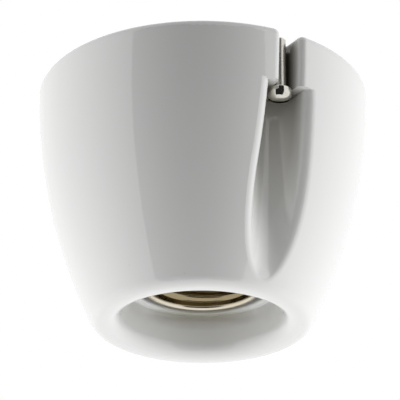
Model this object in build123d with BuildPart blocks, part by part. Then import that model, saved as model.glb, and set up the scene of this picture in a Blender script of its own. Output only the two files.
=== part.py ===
"""Ceiling lamp holder for a screw-in lamp: glazed porcelain body, drawn metal shell, sprung contact.

Millimetres. The ceiling plane is z = 0 and the lamp hangs towards -Z. The two fixing notches
lie on the X axis, the live terminals towards +Y and the neutral terminals towards -Y.
"""

import os
from math import radians, sqrt, tan

from build123d import *

os.makedirs("parts", exist_ok=True)

# Body, outside
height = 64.0
top_radius = 42.0
top_edge_round = 2.0

# Mouth and lamp bore, from the screw shell outwards
bore_gap = 2.05  # between the shell's lip and the bore
bore_edge_round = 0.8
ledge_width = 1.8  # the flat floor of the recess, around the bore
recess_depth = 10.3
recess_taper = 1.7  # the recess is this much wider in the plane of the rim
rim_width = 6.2  # from the recess to the bulging side, in the plane of the rim
rim_inner_round = min(4.0, 0.65 * rim_width)
rim_outer_round = min(3.4, 0.55 * rim_width)
lip_stand_out = 0.3  # the shell's lip hangs this much below the recess's floor

# Wiring space behind
wall = 5.5
tube_wall = 5.7  # porcelain between the lamp bore and the wiring space
pocket_width = 4.9  # at the pocket's floor, between the tube and the outer wall
line_seat_rise = 4.0  # the line terminals stand this much nearer the ceiling
partition = 8.0

# Fixing notches: a narrow slot through the ceiling flange, a wide driver way below it
notch_inset = 6.0  # the fixing screws' distance from the body's widest edge
slot_half_width = 2.7
slot_end_play = 0.5  # the slot's round end lies this much nearer the axis than the screw
flange_thickness = 14.0
way_half_width = 5.0  # at the flange
way_end_offset = 1.0  # the driver way's round end lies this much nearer the axis than the screw
way_draft = 2.2  # degrees: the driver way widens towards the mouth
way_edge_round_limit = 2.4
slot_edge_round = 1.7
notch_wall = 5.5

# Fixing screws
fixing_shank_radius = 1.75
fixing_head_radius = 3.1
fixing_head_height = 2.6
fixing_head_round = 0.9
fixing_tip_chamfer = 0.4

# Screw shell
sheet = 0.4
shell_radius = 13.35  # inside wall, the thread's outer size
neck_step = 0.75  # the neck is this much narrower than the wall
shell_neck_depth = 4.6
shell_length = 20.0
shell_corner_round = 0.6
lip_round = 0.75
eye_margin = 0.5  # sheet left between the screws' heads and the hole in the shell's floor
window_margin = 0.2  # the window in the floor starts this much before the rivets' wells
window_side_margin = 0.6

# Screws that hold the shell, through the partition into the neutral plate
shell_screw_gap = 0.5  # between the heads and the shell's neck
shell_screw_shank = 1.5
shell_screw_head_radius = 2.5
shell_screw_head_height = 1.8
shell_screw_play = 0.3
shell_screw_end = 2.0  # how far its end stands above the neutral plate's top

# Centre contact
nose_radius = 2.6
nose_stand_out = 3.0
nose_round = 1.1
contact_play = 0.1
stop_depth = 2.5  # thickness of the porcelain lip that stops the contact's collar
collar_radius = 4.0
collar_thickness = 1.0
collar_play = 0.2
stem_radius = 1.5
stem_play = 0.1
stem_end = 2.2  # how far the stem stands above the line plate's top
boss_wall = 1.7

# Contact spring
spring_wire = 0.5
spring_radius = 2.9
spring_turns = 5.5

# Terminal plates
plate = 0.8
plate_corner = 1.2
seat_margin = 1.4  # porcelain left around the line plate's tab
tab_margin = 0.5  # the tabs are this much wider than their washers
tab_set_back = 2.6  # the tabs end this much inside the porcelain tube
line_disc_radius = 5.4
land_radius = 3.0  # half the width of the neutral plate's half ring
tab_overlap = 1.1  # of the neutral plate's tab and its half ring
collar_height = 1.2
collar_wall = 0.8
thread_play = 0.1

# Rivets of the line plate
rivet_x = 3.4
rivet_gap = 1.8  # between the rivets' heads and the clamps' washers
rivet_margin = 1.3  # between the rivets' heads and the tab's edge
rivet_radius = 1.2
rivet_head_radius = 1.9
rivet_head_height = 0.7
rivet_play = 0.15
rivet_well_radius = 2.4
rivet_well_depth = 3.0

# Terminal clamps: a slotted screw and a captive square washer each
clamp_x = 5.6
clamp_inset = 3.8  # the screws' distance from the tabs' ends
clamp_shank_radius = 1.7
clamp_head_radius = 3.2
clamp_head_height = 2.3
clamp_head_round = 0.5
clamp_reach = 4.4  # how far the screw's tip stands below its plate
clamp_well_play = 0.4  # around the plate's collar
clamp_tip_gap = 0.8  # below the screw's tip
washer_side = 7.0
washer_thickness = 1.0
washer_play = 0.15
washer_edge_gap = 0.3
washer_lip_thickness = 0.8
washer_lip_rise = 0.15  # its lower edge stays this far above the porcelain
tip_chamfer = 0.4

# Screwdriver slots
driver_slot_width = 0.9
driver_slot_depth = 1.1

# Radii and distances worked out from the sizes above
shell_neck_radius = shell_radius - neck_step
lip_radius = shell_radius + sheet + 2 * lip_round
bore_radius = lip_radius + bore_gap
recess_radius = bore_radius + ledge_width
mouth_radius = recess_radius + recess_taper  # where the recess would meet the rim's plane
foot_radius = mouth_radius + rim_width  # where the side would meet the rim's plane
tube_radius = bore_radius + tube_wall
notch_radius = top_radius - notch_inset
shell_screw_radius = shell_neck_radius - shell_screw_gap - shell_screw_head_radius
shell_eye_radius = shell_screw_radius - shell_screw_head_radius - eye_margin
tab_half_width = clamp_x + washer_side / 2 + tab_margin
tab_end = tube_radius - tab_set_back
clamp_y = tab_end - clamp_inset
rivet_y = clamp_y - washer_side / 2 - rivet_gap - rivet_head_radius
line_tab_start = rivet_y - rivet_head_radius - rivet_margin
neutral_tab_start = shell_screw_radius + land_radius - tab_overlap
clamp_collar_radius = clamp_shank_radius + thread_play + collar_wall
clamp_well_radius = clamp_collar_radius + clamp_well_play
floor_window_start = rivet_y - rivet_well_radius - window_margin
floor_window_half_width = rivet_x + rivet_well_radius + window_side_margin

# Heights worked out from the sizes above
ledge = -flange_thickness
lip_face = recess_depth - height - lip_stand_out
underside = lip_face + shell_length
neutral_seat = underside + partition
line_seat = neutral_seat + line_seat_rise
neutral_top = neutral_seat + plate
line_top = line_seat + plate
stop_face = underside + stop_depth
nose_tip = underside - nose_stand_out
boss_radius = collar_radius + collar_play + boss_wall
slot_end = notch_radius - slot_end_play
way_end = notch_radius - way_end_offset
way_foot_half_width = way_half_width + tan(radians(way_draft)) * (height - flange_thickness)
way_edge_round = min(way_edge_round_limit, 0.55 * (notch_radius - foot_radius))
notch_reach = top_radius / 2
notch_boss_radius = way_half_width + notch_wall
side_inset = top_radius - foot_radius
side_arc = (height**2 + side_inset**2) / (2 * side_inset)
pocket_outer_radius = tube_radius + pocket_width
pocket_depth = sqrt(
    (side_arc - wall) ** 2 - (side_arc - top_radius + pocket_outer_radius) ** 2
)
pocket_round = min(1.5, 0.9 * (pocket_depth + neutral_seat))


def corner(sketch, x, y):
    """The corner of a sketch nearest a point."""
    return sketch.vertices().sort_by_distance((x, y, 0))[0]


def lowest_ring(piece, radius):
    """The lowest round edge of this radius on a piece."""
    rounds = piece.edges().filter_by(GeomType.CIRCLE)
    return rounds.filter_by(lambda e: abs(e.radius - radius) < 0.01).sort_by(Axis.Z)[0]


def is_way_rim(edge):
    """An edge where a driver way opens on the body's side."""
    box = edge.bounding_box()
    near_axis = way_end - way_foot_half_width - way_edge_round
    return (
        edge.geom_type == GeomType.BSPLINE
        and abs(edge.center().X) > near_axis
        and abs(edge.center().Y) < way_foot_half_width + way_edge_round
        and box.max.Z < ledge + slot_edge_round
        and box.size.Z > slot_edge_round
    )


def is_slot_rim(edge):
    """An edge where a slot opens on the body's side."""
    box = edge.bounding_box()
    near_axis = slot_end - slot_half_width
    return (
        edge.geom_type == GeomType.BSPLINE
        and abs(edge.center().X) > near_axis
        and abs(edge.center().Y) < slot_half_width + slot_edge_round
        and box.min.Z > ledge - slot_edge_round
        and box.size.Z > slot_edge_round
    )


def finish(piece, name):
    """Label a finished piece and write its STEP file."""
    piece.part.label = name
    export_step(piece.part, f"parts/{name}.step")


# Wiring space: the open hollow behind, without the blocks around the two notches
with BuildPart() as wiring_space:
    with BuildSketch(Plane.XZ) as hollow_half:
        with BuildLine():
            Polyline(
                (pocket_outer_radius, -pocket_depth),
                (tube_radius, -pocket_depth),
                (tube_radius, neutral_seat),
                (0, neutral_seat),
                (0, 0),
                (top_radius - wall, 0),
            )
            TangentArc(
                (top_radius - wall, 0),
                (pocket_outer_radius, -pocket_depth),
                tangent=(0, -1),
            )
        make_face()
        fillet(corner(hollow_half, tube_radius, -pocket_depth), pocket_round)
        fillet(corner(hollow_half, pocket_outer_radius, -pocket_depth), pocket_round)
    revolve(axis=Axis.Z)
    with BuildSketch(Plane.XY.offset(neutral_seat)):
        Rectangle(2 * top_radius, 2 * notch_boss_radius)
    extrude(amount=-pocket_depth - neutral_seat, mode=Mode.SUBTRACT)
    with BuildSketch(Plane.XY.offset(neutral_seat)):
        with PolarLocations(way_end + notch_reach / 2, 2):
            SlotCenterToCenter(notch_reach, 2 * notch_boss_radius)
    extrude(amount=-neutral_seat, mode=Mode.SUBTRACT)
    with BuildSketch(Plane.XY.offset(neutral_seat)) as island:
        Circle(boss_radius)
        with Locations((0, line_tab_start - seat_margin / 2)):
            Rectangle(
                2 * (tab_half_width + seat_margin),
                tube_radius,
                align=(Align.CENTER, Align.MIN),
            )
        Circle(tube_radius, mode=Mode.INTERSECT)
    extrude(amount=line_seat_rise, mode=Mode.SUBTRACT)

# Glazed porcelain body
with BuildPart() as housing:
    with BuildSketch(Plane.YZ) as body_half:
        with BuildLine():
            Polyline((foot_radius, -height), (0, -height), (0, 0), (top_radius, 0))
            TangentArc((top_radius, 0), (foot_radius, -height), tangent=(0, -1))
        make_face()
        fillet(corner(body_half, top_radius, 0), top_edge_round)
        fillet(corner(body_half, foot_radius, -height), rim_outer_round)
    revolve(axis=Axis.Z)
    with BuildSketch(Plane.XZ) as lamp_half:
        with BuildLine():
            Polyline(
                (0, -height),
                (mouth_radius, -height),
                (recess_radius, recess_depth - height),
                (bore_radius, recess_depth - height),
                (bore_radius, underside),
                (0, underside),
                close=True,
            )
        make_face()
    revolve(axis=Axis.Z, mode=Mode.SUBTRACT)
    fillet(lowest_ring(housing, mouth_radius), rim_inner_round)
    fillet(lowest_ring(housing, bore_radius), bore_edge_round)
    add(wiring_space.part, mode=Mode.SUBTRACT)
    # Driver ways and slots
    with BuildSketch(Plane.XY.offset(ledge)):
        with PolarLocations(way_end + notch_reach / 2, 2):
            SlotCenterToCenter(notch_reach, 2 * way_half_width)
    extrude(amount=flange_thickness - height, taper=-way_draft, mode=Mode.SUBTRACT)
    with BuildSketch(Plane.XY):
        with PolarLocations(slot_end + notch_reach / 2, 2):
            SlotCenterToCenter(notch_reach, 2 * slot_half_width)
    extrude(amount=ledge, mode=Mode.SUBTRACT)
    # Bore of the centre contact
    with BuildSketch(Plane.XY.offset(underside)):
        Circle(nose_radius + contact_play)
    extrude(amount=stop_depth, mode=Mode.SUBTRACT)
    with BuildSketch(Plane.XY.offset(stop_face)):
        Circle(collar_radius + collar_play)
    extrude(amount=line_seat - stop_face, mode=Mode.SUBTRACT)
    # Screws of the shell
    with BuildSketch(Plane.XY.offset(underside)):
        with PolarLocations(shell_screw_radius, 2):
            Circle(shell_screw_shank + shell_screw_play)
    extrude(amount=partition, mode=Mode.SUBTRACT)
    # Rivets of the line plate, with wells that keep their ends clear of the shell
    with BuildSketch(Plane.XY.offset(underside)):
        with Locations((-rivet_x, rivet_y), (rivet_x, rivet_y)):
            Circle(rivet_radius + rivet_play)
    extrude(amount=line_seat - underside, mode=Mode.SUBTRACT)
    with BuildSketch(Plane.XY.offset(underside)):
        with Locations((-rivet_x, rivet_y), (rivet_x, rivet_y)):
            Circle(rivet_well_radius)
    extrude(amount=rivet_well_depth, mode=Mode.SUBTRACT)
    # Wells for the clamp screws' tips
    with BuildSketch(Plane.XY.offset(line_seat)):
        with Locations((-clamp_x, clamp_y), (clamp_x, clamp_y)):
            Circle(clamp_well_radius)
    extrude(amount=-clamp_reach - clamp_tip_gap, mode=Mode.SUBTRACT)
    with BuildSketch(Plane.XY.offset(neutral_seat)):
        with Locations((-clamp_x, -clamp_y), (clamp_x, -clamp_y)):
            Circle(clamp_well_radius)
    extrude(amount=-clamp_reach - clamp_tip_gap, mode=Mode.SUBTRACT)
    # Rounded edges of the notches
    fillet(housing.edges().filter_by(is_slot_rim), slot_edge_round)
    fillet(housing.edges().filter_by(is_way_rim), way_edge_round)
finish(housing, "housing")

# Drawn metal shell: floor, neck, threaded wall and curled lip are one sheet
neck_line = shell_neck_radius + sheet / 2
wall_line = shell_radius + sheet / 2
floor_line = underside - sheet / 2
neck_end = underside - shell_neck_depth
lip_start = underside - shell_length + lip_round + sheet / 2
with BuildPart() as screw_shell:
    with BuildSketch(Plane.XZ):
        with BuildLine():
            FilletPolyline(
                (shell_eye_radius, floor_line),
                (neck_line, floor_line),
                (neck_line, neck_end),
                (wall_line, neck_end - (wall_line - neck_line)),
                (wall_line, lip_start),
                radius=[shell_corner_round, shell_corner_round / 2, shell_corner_round / 2],
            )
            CenterArc((wall_line + lip_round, lip_start), lip_round, 180, 200)
        trace(line_width=sheet)
    revolve(axis=Axis.Z)
    with BuildSketch(Plane.XY.offset(underside)):
        with PolarLocations(shell_screw_radius, 2):
            Circle(shell_screw_shank + shell_screw_play)
        with Locations((0, floor_window_start)):
            Rectangle(
                2 * floor_window_half_width,
                shell_neck_radius - floor_window_start,
                align=(Align.CENTER, Align.MIN),
            )
    extrude(amount=-sheet, mode=Mode.SUBTRACT)
finish(screw_shell, "screw_shell")

# Centre contact: a turned plunger whose collar rests on the porcelain lip
with BuildPart() as contact_plunger:
    with BuildSketch(Plane.XZ) as plunger_half:
        with BuildLine():
            Polyline(
                (0, nose_tip),
                (nose_radius, nose_tip),
                (nose_radius, stop_face),
                (collar_radius, stop_face),
                (collar_radius, stop_face + collar_thickness),
                (stem_radius, stop_face + collar_thickness),
                (stem_radius, line_top + stem_end),
                (0, line_top + stem_end),
                close=True,
            )
        make_face()
        fillet(corner(plunger_half, nose_radius, nose_tip), nose_round)
        chamfer(corner(plunger_half, stem_radius, line_top + stem_end), tip_chamfer)
    revolve(axis=Axis.Z)
finish(contact_plunger, "contact_plunger")

# Coil spring between the plunger's collar and the line plate
spring_bottom = stop_face + collar_thickness + spring_wire / 2
spring_height = line_seat - spring_wire / 2 - spring_bottom
with BuildPart() as contact_spring:
    with BuildLine(Plane.XY.offset(spring_bottom)) as coil:
        Helix(spring_height / spring_turns, spring_height, spring_radius)
    with BuildSketch(Plane(origin=coil.line @ 0, z_dir=coil.line % 0)):
        Circle(spring_wire / 2)
    sweep(is_frenet=True)
finish(contact_spring, "contact_spring")

# Line plate: a disc over the spring and a tab with two tapped collars
with BuildPart() as line_plate:
    with BuildSketch(Plane.XY.offset(line_seat)) as line_outline:
        with Locations((0, line_tab_start)):
            Rectangle(
                2 * tab_half_width,
                tab_end - line_tab_start,
                align=(Align.CENTER, Align.MIN),
            )
        fillet(line_outline.vertices(), plate_corner)
        Circle(line_disc_radius)
        with Locations((0, line_tab_start / 2)):
            Rectangle(2 * (line_disc_radius - plate), line_tab_start)
    extrude(amount=plate)
    with BuildSketch(Plane.XY.offset(line_seat)):
        with Locations((-clamp_x, clamp_y), (clamp_x, clamp_y)):
            Circle(clamp_collar_radius)
    extrude(amount=-collar_height)
    with Locations((0, 0, line_top)):
        Hole(stem_radius + stem_play, plate)
    with Locations((-rivet_x, rivet_y, line_top), (rivet_x, rivet_y, line_top)):
        Hole(rivet_radius, plate)
    with Locations((-clamp_x, clamp_y, line_top), (clamp_x, clamp_y, line_top)):
        Hole(clamp_shank_radius + thread_play, plate + collar_height)
finish(line_plate, "line_plate")

# Neutral plate: a half ring that joins both shell screws, and a tab like the line plate's
with BuildPart() as neutral_plate:
    with BuildSketch(Plane.XY.offset(neutral_seat)) as neutral_outline:
        Circle(shell_screw_radius + land_radius)
        Circle(shell_screw_radius - land_radius, mode=Mode.SUBTRACT)
        Rectangle(
            2 * tube_radius,
            tube_radius,
            align=(Align.CENTER, Align.MIN),
            mode=Mode.SUBTRACT,
        )
        with PolarLocations(shell_screw_radius, 2):
            Circle(land_radius)
        with Locations((0, -neutral_tab_start)):
            Rectangle(
                2 * tab_half_width,
                tab_end - neutral_tab_start,
                align=(Align.CENTER, Align.MAX),
            )
        fillet(corner(neutral_outline, -tab_half_width, -tab_end), plate_corner)
        fillet(corner(neutral_outline, tab_half_width, -tab_end), plate_corner)
    extrude(amount=plate)
    with BuildSketch(Plane.XY.offset(neutral_seat)):
        with Locations((-clamp_x, -clamp_y), (clamp_x, -clamp_y)):
            Circle(clamp_collar_radius)
    extrude(amount=-collar_height)
    with BuildSketch(Plane.XY.offset(neutral_top)):
        with PolarLocations(shell_screw_radius, 2):
            Circle(shell_screw_shank + thread_play + collar_wall)
    extrude(amount=collar_height)
    with Locations((-clamp_x, -clamp_y, neutral_top), (clamp_x, -clamp_y, neutral_top)):
        Hole(clamp_shank_radius + thread_play, plate + collar_height)
    with Locations(Plane.XY.offset(neutral_top + collar_height)):
        with PolarLocations(shell_screw_radius, 2):
            Hole(shell_screw_shank + thread_play, plate + collar_height)
finish(neutral_plate, "neutral_plate")


def headed_screw(x, y, seat, direction, shank, length, head, head_height, head_round):
    """A slotted screw; its head stands on the seat, on the side the direction points to."""
    with BuildPart() as screw:
        with BuildSketch(Plane((x, y, seat), z_dir=(0, 0, direction))):
            Circle(head)
        extrude(amount=head_height)
        top = screw.faces().sort_by(Axis.Z)[-1 if direction > 0 else 0]
        fillet(top.edges(), head_round)
        with BuildSketch(Plane((x, y, seat + direction * head_height), z_dir=(0, 0, direction))):
            Rectangle(3 * head, driver_slot_width)
        extrude(amount=-driver_slot_depth, mode=Mode.SUBTRACT)
        with BuildSketch(Plane((x, y, seat), z_dir=(0, 0, -direction))):
            Circle(shank)
        extrude(amount=length)
        tip = screw.faces().sort_by(Axis.Z)[0 if direction > 0 else -1]
        chamfer(tip.edges(), tip_chamfer)
    return screw


# Screws that hold the shell, driven from inside it
for number, side in ((1, -1), (2, 1)):
    shell_screw = headed_screw(
        side * shell_screw_radius,
        0,
        underside - sheet,
        -1,
        shell_screw_shank,
        neutral_top + shell_screw_end - underside + sheet,
        shell_screw_head_radius,
        shell_screw_head_height,
        clamp_head_round,
    )
    finish(shell_screw, f"shell_screw_{number}")

# Fixing screws, lying in the slots with their heads under the flange
for number, side in ((1, -1), (2, 1)):
    fixing_screw = headed_screw(
        side * notch_radius,
        0,
        ledge,
        -1,
        fixing_shank_radius,
        flange_thickness,
        fixing_head_radius,
        fixing_head_height,
        fixing_head_round,
    )
    finish(fixing_screw, f"fixing_screw_{number}")

# Rivets of the line plate, closed in their wells
for number, side in ((1, -1), (2, 1)):
    with BuildPart() as line_rivet:
        rivet_end = underside + rivet_well_depth
        for seat, way, length in ((line_top, 1, line_top - rivet_end), (rivet_end, -1, 0)):
            with BuildSketch(Plane((side * rivet_x, rivet_y, seat), z_dir=(0, 0, way))):
                Circle(rivet_head_radius)
            extrude(amount=rivet_head_height)
            outer = line_rivet.faces().sort_by(Axis.Z)[-1 if way > 0 else 0]
            fillet(outer.edges(), rivet_head_height / 2)
            if length:
                with BuildSketch(Plane((side * rivet_x, rivet_y, seat), z_dir=(0, 0, -way))):
                    Circle(rivet_radius)
                extrude(amount=length)
    finish(line_rivet, f"line_rivet_{number}")

# Terminal clamps, two on each plate
for circuit, side_y, top in (("line", 1, line_top), ("neutral", -1, neutral_top)):
    for number, side_x in ((1, -1), (2, 1)):
        x = side_x * clamp_x
        y = side_y * clamp_y
        washer_end = tab_end + washer_edge_gap + washer_lip_thickness
        with BuildPart() as clamp_washer:
            with BuildSketch(Plane.XY.offset(top)):
                with Locations((x, y - side_y * washer_side / 2)):
                    Rectangle(
                        washer_side,
                        washer_end - clamp_y + washer_side / 2,
                        align=(Align.CENTER, Align.MIN if side_y > 0 else Align.MAX),
                    )
            extrude(amount=washer_thickness)
            with BuildSketch(Plane.XY.offset(top)):
                with Locations((x, side_y * (washer_end - washer_lip_thickness / 2))):
                    Rectangle(washer_side, washer_lip_thickness)
            extrude(amount=washer_lip_rise - plate)
            with Locations((x, y, top + washer_thickness)):
                Hole(clamp_shank_radius + washer_play, washer_thickness)
        finish(clamp_washer, f"{circuit}_clamp_washer_{number}")
        clamp_screw = headed_screw(
            x,
            y,
            top + washer_thickness,
            1,
            clamp_shank_radius,
            washer_thickness + plate + clamp_reach,
            clamp_head_radius,
            clamp_head_height,
            clamp_head_round,
        )
        finish(clamp_screw, f"{circuit}_clamp_screw_{number}")
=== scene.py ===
from math import cos, pi, radians, sin

import bmesh
import bpy
from mathutils import Matrix, Vector


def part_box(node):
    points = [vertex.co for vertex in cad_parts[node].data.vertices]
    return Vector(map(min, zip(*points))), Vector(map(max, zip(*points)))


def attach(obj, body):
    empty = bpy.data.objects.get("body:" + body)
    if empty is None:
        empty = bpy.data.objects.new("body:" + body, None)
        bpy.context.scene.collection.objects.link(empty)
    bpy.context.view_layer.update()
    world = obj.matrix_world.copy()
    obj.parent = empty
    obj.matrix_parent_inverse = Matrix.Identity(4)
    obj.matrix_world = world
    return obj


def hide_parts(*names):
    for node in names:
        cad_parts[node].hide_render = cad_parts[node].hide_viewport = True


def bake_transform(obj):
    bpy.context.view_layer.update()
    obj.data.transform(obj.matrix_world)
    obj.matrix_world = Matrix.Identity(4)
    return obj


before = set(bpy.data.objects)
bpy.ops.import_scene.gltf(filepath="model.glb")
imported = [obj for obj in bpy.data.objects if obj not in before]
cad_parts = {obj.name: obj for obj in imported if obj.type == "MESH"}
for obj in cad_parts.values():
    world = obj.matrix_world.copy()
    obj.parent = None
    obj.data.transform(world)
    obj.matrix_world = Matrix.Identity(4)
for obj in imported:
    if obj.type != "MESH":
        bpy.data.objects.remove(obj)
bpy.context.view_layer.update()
mm = 0.001
print("frame loaded:", len(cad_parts), "nodes")


# Camera: below the ceiling, looking up into the mouth
cameraView = dict(
    target=(0, 0, -32.27 * mm),
    distance=658.2 * mm,
    side=58.8,      # degrees to the right of the -Y direction
    below=24.10,    # degrees under the horizon
    roll=0.207,     # degrees
    sensor=36,
    lens=234.5,
    shiftX=-0.006,
    shiftY=0.0239,
    clip=(0.01, 20),    # metres
)


def towards(side, elevation):
    return Vector((
        sin(radians(side)) * cos(radians(elevation)),
        -cos(radians(side)) * cos(radians(elevation)),
        sin(radians(elevation)),
    ))


def addObject(name, data):
    item = bpy.data.objects.new(name, data)
    bpy.context.scene.collection.objects.link(item)
    return item


def makeCamera(v):
    data = bpy.data.cameras.new("mainCamera")
    data.sensor_width = v["sensor"]
    data.lens = v["lens"]
    data.shift_x = v["shiftX"]
    data.shift_y = v["shiftY"]
    data.clip_start, data.clip_end = v["clip"]
    camera = addObject("mainCamera", data)
    away = towards(v["side"], -v["below"])
    look = (-away).to_track_quat("-Z", "Y").to_matrix()
    turn = look @ Matrix.Rotation(radians(v["roll"]), 3, "Z")
    place = Vector(v["target"]) + away * v["distance"]
    camera.matrix_world = Matrix.Translation(place) @ turn.to_4x4()
    bpy.context.scene.camera = camera


makeCamera(cameraView)
print("camera set")


# Soft studio light: angles are seen from the camera, positive to its right
aim = Vector((0, 0, -32 * mm))
softboxes = {
    "leftKey": dict(side=-98, up=0, away=1.1, wide=0.63, high=1.1, watts=9.2),
    "rightKey": dict(side=92, up=0, away=1.1, wide=0.55, high=1.1, watts=10.2),
    "lowBack": dict(side=180, up=-48, away=1.0, wide=1.3, high=0.75, watts=3.4),
    "beneath": dict(side=0, up=-90, away=0.9, wide=0.8, high=0.8, watts=3.1),
    "highBack": dict(side=180, up=50, away=1.1, wide=1.8, high=0.7, watts=3.5),
}
# The room lights the object with the fill; the camera and reflections see it white
studio = dict(colour=(1, 1, 1, 1), fill=0.36, seen=1)


def makeSoftbox(name, v):
    data = bpy.data.lights.new(name, "AREA")
    data.shape = "RECTANGLE"
    data.size = v["wide"]
    data.size_y = v["high"]
    data.energy = v["watts"]
    lamp = addObject(name, data)
    away = towards(cameraView["side"] + v["side"], v["up"])
    turn = away.to_track_quat("Z", "Y").to_matrix().to_4x4()
    lamp.matrix_world = Matrix.Translation(aim + away * v["away"]) @ turn
    lamp.visible_camera = False
    lamp.visible_glossy = False


def join(tree, output, socket):
    tree.links.new(output, socket)


def setOrJoin(tree, value, socket):
    if isinstance(value, (int, float, tuple)):
        socket.default_value = value
    else:
        join(tree, value, socket)


def maths(tree, operation, a, b=0):
    node = tree.nodes.new("ShaderNodeMath")
    node.operation = operation
    setOrJoin(tree, a, node.inputs[0])
    setOrJoin(tree, b, node.inputs[1])
    return node.outputs["Value"]


def plus(tree, a, b):
    return maths(tree, "ADD", a, b)


def minus(tree, a, b):
    return maths(tree, "SUBTRACT", a, b)


def times(tree, a, b):
    return maths(tree, "MULTIPLY", a, b)


def makeWorld(v):
    world = bpy.data.worlds.new("studio")
    bpy.context.scene.world = world
    world.use_nodes = True
    tree = world.node_tree
    tree.nodes.clear()
    path = tree.nodes.new("ShaderNodeLightPath").outputs
    seen = plus(tree, path["Is Camera Ray"], path["Is Glossy Ray"])
    seen = plus(tree, seen, path["Is Transmission Ray"])
    seen.node.use_clamp = True
    mix = tree.nodes.new("ShaderNodeMixShader")
    join(tree, seen, mix.inputs["Fac"])
    for strength, socket in ((v["fill"], mix.inputs[1]), (v["seen"], mix.inputs[2])):
        room = tree.nodes.new("ShaderNodeBackground")
        room.inputs["Color"].default_value = v["colour"]
        room.inputs["Strength"].default_value = strength
        join(tree, room.outputs["Background"], socket)
    out = tree.nodes.new("ShaderNodeOutputWorld")
    join(tree, mix.outputs["Shader"], out.inputs["Surface"])


for name, v in softboxes.items():
    makeSoftbox(name, v)
makeWorld(studio)
bpy.context.scene.view_settings.view_transform = "Standard"
print("lights set")


# Material helpers
def newMaterial(name):
    material = bpy.data.materials.new(name)
    material.use_nodes = True
    tree = material.node_tree
    place = tree.nodes.new("ShaderNodeTexCoord").outputs["Object"]
    return material, tree, tree.nodes["Principled BSDF"], place


def stretched(tree, place, scale):
    mapping = tree.nodes.new("ShaderNodeMapping")
    mapping.inputs["Scale"].default_value = scale
    join(tree, place, mapping.inputs["Vector"])
    return mapping.outputs["Vector"]


def noise(tree, place, scale, detail=2, roughness=0.5):
    node = tree.nodes.new("ShaderNodeTexNoise")
    node.inputs["Scale"].default_value = scale
    node.inputs["Detail"].default_value = detail
    node.inputs["Roughness"].default_value = roughness
    join(tree, place, node.inputs["Vector"])
    return node.outputs["Fac"]


def ranged(tree, value, span, to=(0, 1)):
    node = tree.nodes.new("ShaderNodeMapRange")
    node.inputs["From Min"].default_value = span[0]
    node.inputs["From Max"].default_value = span[1]
    node.inputs["To Min"].default_value = to[0]
    node.inputs["To Max"].default_value = to[1]
    join(tree, value, node.inputs["Value"])
    return node.outputs["Result"]


def blended(tree, amount, one, other):
    node = tree.nodes.new("ShaderNodeMix")
    node.data_type = "RGBA"
    setOrJoin(tree, one, node.inputs["A"])
    setOrJoin(tree, other, node.inputs["B"])
    join(tree, amount, node.inputs["Factor"])
    return node.outputs["Result"]


def bumped(tree, shader, height):
    node = tree.nodes.new("ShaderNodeBump")
    node.inputs["Distance"].default_value = 1
    node.inputs["Strength"].default_value = 1
    join(tree, height, node.inputs["Height"])
    join(tree, node.outputs["Normal"], shader.inputs["Normal"])


def split(tree, place):
    parts = tree.nodes.new("ShaderNodeSeparateXYZ")
    join(tree, place, parts.inputs["Vector"])
    return parts.outputs["X"], parts.outputs["Y"], parts.outputs["Z"]


def aroundAxis(tree, x, y):
    square = plus(tree, times(tree, x, x), times(tree, y, y))
    return maths(tree, "POWER", square, 0.5), maths(tree, "ARCTAN2", y, x)


def combined(tree, x, y, z):
    node = tree.nodes.new("ShaderNodeCombineXYZ")
    for value, socket in zip((x, y, z), node.inputs):
        join(tree, value, socket)
    return node.outputs["Vector"]


def finishMetal(tree, shader, v, colour, grain, marks):
    join(tree, colour, shader.inputs["Base Color"])
    shader.inputs["Metallic"].default_value = 1
    join(tree, grain, shader.inputs["Roughness"])
    bumped(tree, shader, times(tree, marks, v["relief"]))


# Glazed porcelain: clouded white, a faint waviness, sparse specks, a bare foot
# at the ceiling, and painted shade in the mouth and the two notches
glaze = dict(
    white=(0.80, 0.80, 0.785, 1),
    cool=(0.77, 0.775, 0.77, 1),
    cloudScale=55,
    speck=(0.40, 0.36, 0.30, 1),
    speckShade=0.22,
    speckScale=130,
    speckSize=(0.03, 0.045),
    sparseScale=90,
    sparse=(0.66, 0.70),
    # painted shade on the ledge in the mouth, darkest on one side
    recessShadeColour=(0.46, 0.45, 0.38, 1),
    recessShade=(0.05, 0.95),
    recessSide=148.8,       # degrees from the +X direction
    recessSpread=(0.70, 0.99),
    recessHeights=(-57.5 * mm, -53.7 * mm),
    recessRadii=(20.5 * mm, 21 * mm),
    notchInside=(27 * mm, 29 * mm),
    notchHalf=(7.5 * mm, 8 * mm),
    # painted shade in the notches, darker deeper in and higher up
    wayShadeColour=(0.42, 0.41, 0.37, 1),
    wayShade=(0.0, 0.9),
    wayDepths=(0.8 * mm, 6 * mm),
    wayHeights=(-58 * mm, -18 * mm),
    # painted shadow, near black, deep in the slot under the screw head
    slotShadeColour=(0.06, 0.045, 0.025, 1),
    slotShade=0.92,
    slotDepths=(1 * mm, 5.5 * mm),
    slotHeights=(-14.6 * mm, -13.8 * mm),
    topRadius=42 * mm,
    sideArc=144.03 * mm,    # radius of the body's bulging side
    bisque=(0.74, 0.70, 0.63, 1),
    bareHeights=(-0.2 * mm, 0),
    bareEdge=0.3 * mm,
    bareEdgeScale=400,
    index=1.6,
    roughness=0.05,
    bareRoughness=0.6,
    wave=0.035 * mm,
    waveScale=60,
    peel=0.0016 * mm,
    peelScale=700,
)


def cloudedWhite(tree, place, v):
    body = blended(tree, noise(tree, place, v["cloudScale"], 3), v["white"], v["cool"])
    cells = tree.nodes.new("ShaderNodeTexVoronoi")
    cells.inputs["Scale"].default_value = v["speckScale"]
    join(tree, place, cells.inputs["Vector"])
    dots = ranged(tree, cells.outputs["Distance"], v["speckSize"], (1, 0))
    rare = ranged(tree, noise(tree, place, v["sparseScale"], 0), v["sparse"])
    speck = times(tree, times(tree, dots, rare), v["speckShade"])
    return blended(tree, speck, body, v["speck"])


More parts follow.
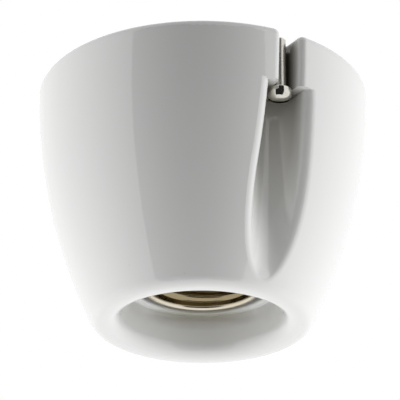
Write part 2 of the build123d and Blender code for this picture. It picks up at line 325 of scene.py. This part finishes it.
def glazedPorcelain(v):
    material, tree, shader, place = newMaterial("glazedPorcelain")
    colour = cloudedWhite(tree, place, v)
    x, y, z = split(tree, place)
    radius, angle = aroundAxis(tree, x, y)

    # Painted shade on the ledge around the shell, strongest on one side
    heightShare = ranged(tree, z, v["recessHeights"])
    ledge = times(tree, heightShare, ranged(tree, radius, v["recessRadii"], (1, 0)))
    facing = maths(tree, "COSINE", minus(tree, angle, radians(v["recessSide"])))
    paintedRecessShade = times(tree, ledge, ranged(tree, facing, v["recessSpread"], v["recessShade"]))
    colour = blended(tree, paintedRecessShade, colour, v["recessShadeColour"])

    # Painted shade: the walls of the notches darken with their depth under the bulging side
    bulge = minus(tree, v["sideArc"] ** 2, times(tree, z, z))
    outside = plus(tree, maths(tree, "POWER", bulge, 0.5), v["topRadius"] - v["sideArc"])
    depth = minus(tree, outside, radius)
    outer = ranged(tree, maths(tree, "ABSOLUTE", x), v["notchInside"])
    middle = ranged(tree, maths(tree, "ABSOLUTE", y), v["notchHalf"], (1, 0))
    inNotch = times(tree, outer, middle)
    wayHeight = ranged(tree, z, v["wayHeights"], v["wayShade"])
    wayPaintedShade = times(tree, ranged(tree, depth, v["wayDepths"]), wayHeight)
    colour = blended(tree, times(tree, inNotch, wayPaintedShade), colour, v["wayShadeColour"])
    # Painted shadow deep in the slot behind the fixing screw
    slotHeight = ranged(tree, z, v["slotHeights"])
    slotPaintedShade = times(tree, ranged(tree, depth, v["slotDepths"]), slotHeight)
    slotPaintedShade = times(tree, times(tree, inNotch, slotPaintedShade), v["slotShade"])
    colour = blended(tree, slotPaintedShade, colour, v["slotShadeColour"])

    ragged = times(tree, noise(tree, place, v["bareEdgeScale"]), v["bareEdge"])
    bare = ranged(tree, plus(tree, z, ragged), v["bareHeights"])
    join(tree, blended(tree, bare, colour, v["bisque"]), shader.inputs["Base Color"])
    gloss = ranged(tree, bare, (0, 1), (v["roughness"], v["bareRoughness"]))
    join(tree, gloss, shader.inputs["Roughness"])
    shader.inputs["IOR"].default_value = v["index"]
    waves = times(tree, noise(tree, place, v["waveScale"], 1), v["wave"])
    peel = times(tree, noise(tree, place, v["peelScale"], 1), v["peel"])
    bumped(tree, shader, plus(tree, waves, peel))
    return material


# Nickel-plated sheet, drawn and rolled: fine streaks around the axis, warm where
# the plate is thin, and painted shade, dark brown, on the inside of the shell above the lip
plate = dict(
    colour=(0.74, 0.69, 0.58, 1),
    warm=(0.66, 0.56, 0.36, 1),
    warmth=0.5,
    patchScale=160,
    patch=(0.38, 0.72),
    # painted shade inside the shell
    paintedInnerShade=(0.34, 0.28, 0.17, 1),
    innerShadeHeights=(-53.7 * mm, -53.0 * mm),
    streakScale=2600,
    streakTurn=1.2,
    streakSpan=(0.3, 0.7),
    roughness=(0.16, 0.28),
    relief=0.0012 * mm,
)


def platedSheet(v):
    material, tree, shader, place = newMaterial("platedSheet")
    x, y, z = split(tree, place)
    radius, angle = aroundAxis(tree, x, y)
    unrolled = combined(
        tree,
        times(tree, radius, v["streakScale"]),
        times(tree, angle, v["streakTurn"]),
        times(tree, z, v["streakScale"]),
    )
    streak = noise(tree, unrolled, 1, 3)
    patch = ranged(tree, noise(tree, place, v["patchScale"], 3), v["patch"])
    plated = blended(tree, times(tree, patch, v["warmth"]), v["colour"], v["warm"])
    # painted shade: dark brown above the lip, the lip stays bright
    colour = blended(tree, ranged(tree, z, v["innerShadeHeights"]), plated, v["paintedInnerShade"])
    grain = ranged(tree, streak, v["streakSpan"], v["roughness"])
    finishMetal(tree, shader, v, colour, grain, streak)
    return material


# Stamped brass: brushed along the strip, slightly tarnished
stamping = dict(
    colour=(0.80, 0.60, 0.28, 1),
    tarnish=(0.50, 0.33, 0.14, 1),
    tarnished=0.6,
    ageScale=210,
    age=(0.45, 0.75),
    brushScale=(120, 4200, 4200),
    brushSpan=(0.3, 0.7),
    roughness=(0.18, 0.34),
    relief=0.0015 * mm,
)


def stampedBrass(v):
    material, tree, shader, place = newMaterial("stampedBrass")
    lines = noise(tree, stretched(tree, place, v["brushScale"]), 1, 3)
    age = ranged(tree, noise(tree, place, v["ageScale"], 4, 0.6), v["age"])
    colour = blended(tree, times(tree, age, v["tarnished"]), v["colour"], v["tarnish"])
    grain = ranged(tree, lines, v["brushSpan"], v["roughness"])
    finishMetal(tree, shader, v, colour, grain, lines)
    return material


# Turned and plated screws: lathe rings up the shank, small handling marks
turning = dict(
    colour=(0.70, 0.68, 0.62, 1),
    worn=(0.52, 0.49, 0.42, 1),
    wear=0.5,
    markScale=900,
    marks=(0.52, 0.70),
    markDulls=0.4,
    ringScale=(90, 90, 5200),
    ringSpan=(0.3, 1.0),
    roughness=(0.07, 0.18),
    relief=0.0012 * mm,
)
dullTurning = dict(turning, roughness=(0.26, 0.42))


def turnedNickel(name, v):
    material, tree, shader, place = newMaterial(name)
    rings = noise(tree, stretched(tree, place, v["ringScale"]), 1)
    marks = ranged(tree, noise(tree, place, v["markScale"], 4, 0.65), v["marks"])
    colour = blended(tree, times(tree, marks, v["wear"]), v["colour"], v["worn"])
    uneven = plus(tree, rings, times(tree, marks, v["markDulls"]))
    grain = ranged(tree, uneven, v["ringSpan"], v["roughness"])
    finishMetal(tree, shader, v, colour, grain, rings)
    return material


# Spring wire: drawn steel, dark oil in the grain
wire = dict(
    colour=(0.55, 0.55, 0.56, 1),
    oiled=(0.30, 0.28, 0.26, 1),
    oil=0.6,
    oilScale=480,
    oilSpan=(0.5, 0.7),
    grainScale=2400,
    grainSpan=(0.3, 0.7),
    roughness=(0.16, 0.32),
    relief=0.001 * mm,
)


def springWire(v):
    material, tree, shader, place = newMaterial("springWire")
    drawn = noise(tree, place, v["grainScale"], 3)
    oil = ranged(tree, noise(tree, place, v["oilScale"], 3), v["oilSpan"])
    colour = blended(tree, times(tree, oil, v["oil"]), v["colour"], v["oiled"])
    grain = ranged(tree, drawn, v["grainSpan"], v["roughness"])
    finishMetal(tree, shader, v, colour, grain, drawn)
    return material


porcelain = glazedPorcelain(glaze)
shellMetal = platedSheet(plate)
brass = stampedBrass(stamping)
nickel = turnedNickel("turnedNickel", turning)
dullNickel = turnedNickel("dullNickel", dullTurning)
springSteel = springWire(wire)


def materialOf(node):
    if node == "housing":
        return porcelain
    if node == "screw_shell":
        return shellMetal
    if node == "contact_spring":
        return springSteel
    if "plate" in node or "rivet" in node or "plunger" in node:
        return brass
    return nickel


for node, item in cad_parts.items():
    item.data.materials.clear()
    item.data.materials.append(materialOf(node))
print("materials set")


# Shape helpers: profiles and loops are in millimetres
def addPiece(name, b, *materials):
    mesh = bpy.data.meshes.new(name)
    b.to_mesh(mesh)
    b.free()
    for material in materials:
        mesh.materials.append(material)
    return addObject(name, mesh)


def spinProfile(b, profile, segments):
    verts = [b.verts.new(Vector((r, 0, z)) * mm) for r, z in profile]
    edges = [b.edges.new(pair) for pair in zip(verts, verts[1:])]
    bmesh.ops.spin(
        b,
        geom=verts + edges,
        cent=(0, 0, 0),
        axis=(0, 0, 1),
        angle=2 * pi,
        steps=segments,
        use_merge=True,
    )


def addLoop(b, points, z):
    verts = [b.verts.new(Vector((x, y, z)) * mm) for x, y in points]
    return [b.edges.new(pair) for pair in zip(verts, verts[1:] + verts[:1])]


def addCircle(b, x, radius, z, count):
    turns = [2 * pi * i / count for i in range(count)]
    return addLoop(b, [(x + radius * cos(a), radius * sin(a)) for a in turns], z)


# Screw shell: one sheet, with the rolled lamp thread in its wall
shell = dict(
    sheet=0.4,
    floor=-34.2,            # middle of the sheet, as are all the radii here
    eye=6.6,
    eyeSteps=96,
    neck=12.8,
    neckMiddle=-36.2,
    neckEnd=-38.6,
    corner=0.6,
    cornerSteps=8,
    bend=0.05,              # the bends keep crisp between two close rings
    bendSide=0.08,
    bendReach=0.25,
    wall=13.55,
    ringStep=0.2,
    lipStart=-53.05,
    lipRound=0.75,
    lipTurn=200,            # degrees
    lipSteps=20,
    lipGap=0.1,
    threadTop=-39.7,
    threadFoot=-52.2,
    fade=1.5,
    pitch=3.629,
    depth=0.55,
    windowHalf=6.4,
    windowStart=6.8,
    windowEnd=12.1,
    windowSteps=24,
    screwHole=1.8,
    screwHoleSteps=48,
    screwAt=9.6,
    segments=192,
)


def shellProfile(v):
    neck, wall, lip = v["neck"], v["wall"], v["lipRound"]
    points = []
    for i in range(v["cornerSteps"] + 1):
        a = pi / 2 * (1 - i / v["cornerSteps"])
        across = neck - v["corner"] + v["corner"] * cos(a)
        points.append((across, v["floor"] - v["corner"] + v["corner"] * sin(a)))
    points.append((neck, v["neckMiddle"]))
    points.append((neck, v["neckEnd"] + v["bendReach"]))
    points.append((neck + v["bendSide"], v["neckEnd"] - v["bend"]))
    shoulder = v["neckEnd"] - (wall - neck)
    points.append((wall - v["bendSide"], shoulder + v["bend"]))
    z = shoulder - v["bendReach"]
    while z > v["lipStart"] + v["lipGap"]:
        points.append((wall, z))
        z -= v["ringStep"]
    for i in range(v["lipSteps"] + 1):
        a = pi + radians(v["lipTurn"]) * i / v["lipSteps"]
        points.append((wall + lip + lip * cos(a), v["lipStart"] + lip * sin(a)))
    return points


def ease(t):
    t = max(0.0, min(1.0, t))
    return t * t * (3 - 2 * t)


def rollThread(b, v):
    # what lies further out is the lip, which stays round
    outermost = (v["wall"] + 0.01) * mm
    for vert in b.verts:
        z = vert.co.z / mm
        radius = vert.co.xy.length
        if v["threadFoot"] < z < v["threadTop"] and radius < outermost:
            top = ease((v["threadTop"] - z) / v["fade"])
            foot = ease((z - v["threadFoot"]) / v["fade"])
            turn = Vector((1, 0)).angle_signed(vert.co.xy)
            phase = 2 * pi * z / v["pitch"] + turn
            inward = v["depth"] * top * foot * (1 - cos(phase)) * mm
            vert.co.xy *= (radius - inward) / radius


def addShellFloor(b, v):
    floor, half = v["floor"], v["windowHalf"]
    edges = addCircle(b, 0, v["neck"] - v["corner"], floor, v["segments"])
    edges += addCircle(b, 0, v["eye"], floor, v["eyeSteps"])
    for side in (-1, 1):
        holeAt = side * v["screwAt"]
        edges += addCircle(b, holeAt, v["screwHole"], floor, v["screwHoleSteps"])
    window = [(-half, v["windowStart"]), (half, v["windowStart"])]
    for i in range(v["windowSteps"] + 1):
        x = half - 2 * half * i / v["windowSteps"]
        window.append((x, (v["windowEnd"] ** 2 - x ** 2) ** 0.5))
    edges += addLoop(b, window, floor)
    filled = bmesh.ops.triangle_fill(b, use_beauty=True, edges=edges)["geom"]
    return [f for f in filled if isinstance(f, bmesh.types.BMFace)]


def makeShell(v):
    b = bmesh.new()
    spinProfile(b, shellProfile(v), v["segments"])
    rollThread(b, v)
    flat = addShellFloor(b, v)
    # joins the floor to the neck and closes the seam of the spin
    bmesh.ops.remove_doubles(b, verts=b.verts, dist=0.001 * mm)
    for face in b.faces:
        face.smooth = True
    for face in flat:
        if face.is_valid:
            face.smooth = False
    bmesh.ops.recalc_face_normals(b, faces=b.faces)
    piece = addPiece("rolledShell", b, shellMetal)
    thick = piece.modifiers.new("sheet", "SOLIDIFY")
    thick.thickness = v["sheet"] * mm
    thick.offset = 0
    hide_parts("screw_shell")
    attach(piece, "base")
    return piece


shellPiece = makeShell(shell)
print("screw shell made:", len(shellPiece.data.polygons), "faces")


# Fixing screws: polished round slotted heads on duller turned shanks
fixing = dict(
    shank=1.75,
    point=0.4,
    seat=-14.0,
    head=3.2,
    headEdge=0.22,
    headEdgeSteps=4,
    headBand=0.3,
    crown=-17.3,
    crownSteps=20,
    fullness=0.78,          # 1 is an ellipse, less is fuller
    slotHalf=0.5,
    slotFloor=-15.9,
    sharpFrom=0.6,          # radians between two faces
    segments=96,
)


def fixingProfile(v, top):
    shank, edge, full = v["shank"], v["headEdge"], v["fullness"]
    flat = v["head"] - edge
    points = [(0, top), (shank - v["point"], top), (shank, top - v["point"])]
    points += [(shank, v["seat"]), (flat, v["seat"])]
    start = v["seat"] - edge
    for i in range(1, v["headEdgeSteps"] + 1):
        a = pi / 2 * i / v["headEdgeSteps"]
        points.append((flat + edge * sin(a), start + edge * cos(a)))
    band = start - v["headBand"]
    for i in range(v["crownSteps"] + 1):
        a = pi / 2 * i / v["crownSteps"]
        z = band + (v["crown"] - band) * sin(a) ** full
        points.append((v["head"] * cos(a) ** full, z))
    return points


def cutHead(b, v, point, normal):
    below = (v["seat"] - v["headEdge"] / 2) * mm
    faces = [f for f in b.faces if max(c.co.z for c in f.verts) < below]
    edges = list({e for f in faces for e in f.edges})
    verts = list({c for f in faces for c in f.verts})
    whole = faces + edges + verts
    bmesh.ops.bisect_plane(b, geom=whole, dist=1e-8, plane_co=point, plane_no=normal)


def cutSlot(b, v, across):
    half, floor = v["slotHalf"] * mm, v["slotFloor"] * mm
    near = 0.001 * mm
    cutHead(b, v, across * half, across)
    cutHead(b, v, -across * half, across)
    cutHead(b, v, Vector((0, 0, floor)), Vector((0, 0, 1)))
    gone = []
    for face in b.faces:
        middle = face.calc_center_median()
        if abs(middle.dot(across)) < half and middle.z < floor:
            gone.append(face)
    bmesh.ops.delete(b, geom=gone, context="FACES")
    along = Vector((across.y, -across.x, 0))
    rim = [e for e in b.edges if e.is_boundary]
    straights = []
    for side in (-half, half):
        wall = [e for e in rim if all(abs(c.co.dot(across) - side) < near for c in e.verts)]
        corners = {c for e in wall for c in e.verts if abs(c.co.z - floor) < near}
        ends = sorted(corners, key=lambda c: c.co.dot(along))
        straight = b.edges.new((ends[0], ends[-1]))
        straights.append(straight)
        bmesh.ops.contextual_create(b, geom=wall + [straight])
    level = [e for e in rim if all(abs(c.co.z - floor) < near for c in e.verts)]
    bmesh.ops.contextual_create(b, geom=level + straights)


def makeFixingScrew(v, name, node, slotAngle):
    low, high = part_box(node)
    b = bmesh.new()
    spinProfile(b, fixingProfile(v, high.z / mm), v["segments"])
    bmesh.ops.remove_doubles(b, verts=b.verts, dist=0.0001 * mm)
    cutSlot(b, v, Vector((-sin(radians(slotAngle)), cos(radians(slotAngle)), 0)))
    bmesh.ops.recalc_face_normals(b, faces=b.faces)
    for face in b.faces:
        # only the walls and the floor of the slot have as many corners
        face.smooth = len(face.verts) < 8
        onShank = face.calc_center_median().z > v["seat"] * mm
        face.material_index = 1 if onShank else 0
    for edge in b.edges:
        edge.smooth = edge.calc_face_angle(0) < v["sharpFrom"]
    middle = (low + high) / 2
    bmesh.ops.translate(b, verts=b.verts, vec=(middle.x, middle.y, 0))
    piece = addPiece(name, b, nickel, dullNickel)
    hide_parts(node)
    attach(piece, "base")


makeFixingScrew(fixing, "leftFixingScrew", "fixing_screw_1", 20)
makeFixingScrew(fixing, "rightFixingScrew", "fixing_screw_2", 60)
print("fixing screws made")


# Contact spring: a coil that shortens as the centre contact is pressed
coil = dict(wire=0.5, turns=5.5, stepsPerTurn=40, sides=16)


def makeSpring(v):
    low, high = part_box("contact_spring")
    thin = v["wire"] / 2 * mm
    foot, rise = low.z + thin, high.z - low.z - 2 * thin
    reach = (high.x - low.x) / 2 - thin
    steps = int(v["turns"] * v["stepsPerTurn"])
    b = bmesh.new()
    stand = Matrix.Translation((reach, 0, foot)) @ Matrix.Rotation(pi / 2, 4, "X")
    circle = bmesh.ops.create_circle(
        b, cap_ends=False, segments=v["sides"], radius=thin, matrix=stand
    )
    ring = circle["verts"]
    first = list({e for vert in ring for e in vert.link_edges})
    bmesh.ops.spin(
        b,
        geom=ring + first,
        cent=(0, 0, 0),
        axis=(0, 0, 1),
        dvec=(0, 0, rise / steps),
        angle=2 * pi * v["turns"],
        steps=steps,
    )
    last = [e for e in b.edges if e.is_boundary and e not in first]
    bmesh.ops.contextual_create(b, geom=first)
    bmesh.ops.contextual_create(b, geom=last)
    bmesh.ops.recalc_face_normals(b, faces=b.faces)
    for face in b.faces:
        face.smooth = len(face.verts) == 4
    piece = addPiece("contactCoil", b, springSteel)
    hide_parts("contact_spring")
    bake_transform(piece)


makeSpring(coil)
print("contact spring made")


# Plain pale floor, far under the lamp holder
ground = dict(
    below=-1.05,
    reach=30,
    pale=(0.80, 0.80, 0.80, 1),
    patch=(0.76, 0.76, 0.765, 1),
    patchScale=3,
    grainScale=90,
    grainSpan=(0.3, 0.7),
    roughness=(0.5, 0.65),
    glowColour=(1, 1, 1, 1),
    glow=0.42,
)


def paleFloor(v):
    material, tree, shader, place = newMaterial("paleFloor")
    cloud = noise(tree, place, v["patchScale"], 3)
    join(tree, blended(tree, cloud, v["pale"], v["patch"]), shader.inputs["Base Color"])
    grain = noise(tree, place, v["grainScale"], 3)
    rough = ranged(tree, grain, v["grainSpan"], v["roughness"])
    join(tree, rough, shader.inputs["Roughness"])
    shader.inputs["Emission Color"].default_value = v["glowColour"]
    shader.inputs["Emission Strength"].default_value = v["glow"]
    return material


def makeFloor(v):
    b = bmesh.new()
    bmesh.ops.create_grid(b, x_segments=1, y_segments=1, size=v["reach"])
    bmesh.ops.translate(b, verts=b.verts, vec=(0, 0, v["below"]))
    floor = addPiece("floor", b, paleFloor(v))
    floor.visible_glossy = False
    floor.visible_diffuse = False


makeFloor(ground)
print("floor made")


# Dark flag around the camera, seen only in reflections: it keeps the front grey
# between the white of the two sides
card = dict(
    radius=1.0,
    left=-48,               # degrees from the camera, as is the right edge
    right=42,
    low=-1.45,
    high=1.1,
    steps=24,
    dark=(0.02, 0.02, 0.02, 1),
    dusty=(0.03, 0.03, 0.03, 1),
    dustScale=40,
    napScale=300,
    napSpan=(0.3, 0.7),
    roughness=(0.8, 0.9),
)


def darkCloth(v):
    material, tree, shader, place = newMaterial("darkCloth")
    dust = noise(tree, place, v["dustScale"], 3)
    join(tree, blended(tree, dust, v["dark"], v["dusty"]), shader.inputs["Base Color"])
    nap = ranged(tree, noise(tree, place, v["napScale"]), v["napSpan"], v["roughness"])
    join(tree, nap, shader.inputs["Roughness"])
    shader.inputs["Specular IOR Level"].default_value = 0
    return material


def makeFlag(v):
    b = bmesh.new()
    away = towards(cameraView["side"] + v["left"], 0) * v["radius"]
    ends = [b.verts.new(away + Vector((0, 0, z))) for z in (v["low"], v["high"])]
    edge = b.edges.new(ends)
    bmesh.ops.spin(
        b,
        geom=ends + [edge],
        cent=(0, 0, 0),
        axis=(0, 0, 1),
        angle=radians(v["right"] - v["left"]),
        steps=v["steps"],
        use_merge=False,
    )
    bmesh.ops.recalc_face_normals(b, faces=b.faces)
    flag = addPiece("flag", b, darkCloth(v))
    flag.visible_camera = False
    flag.visible_diffuse = False
    flag.visible_shadow = False
    flag.visible_transmission = False


makeFlag(card)
print("flag made")
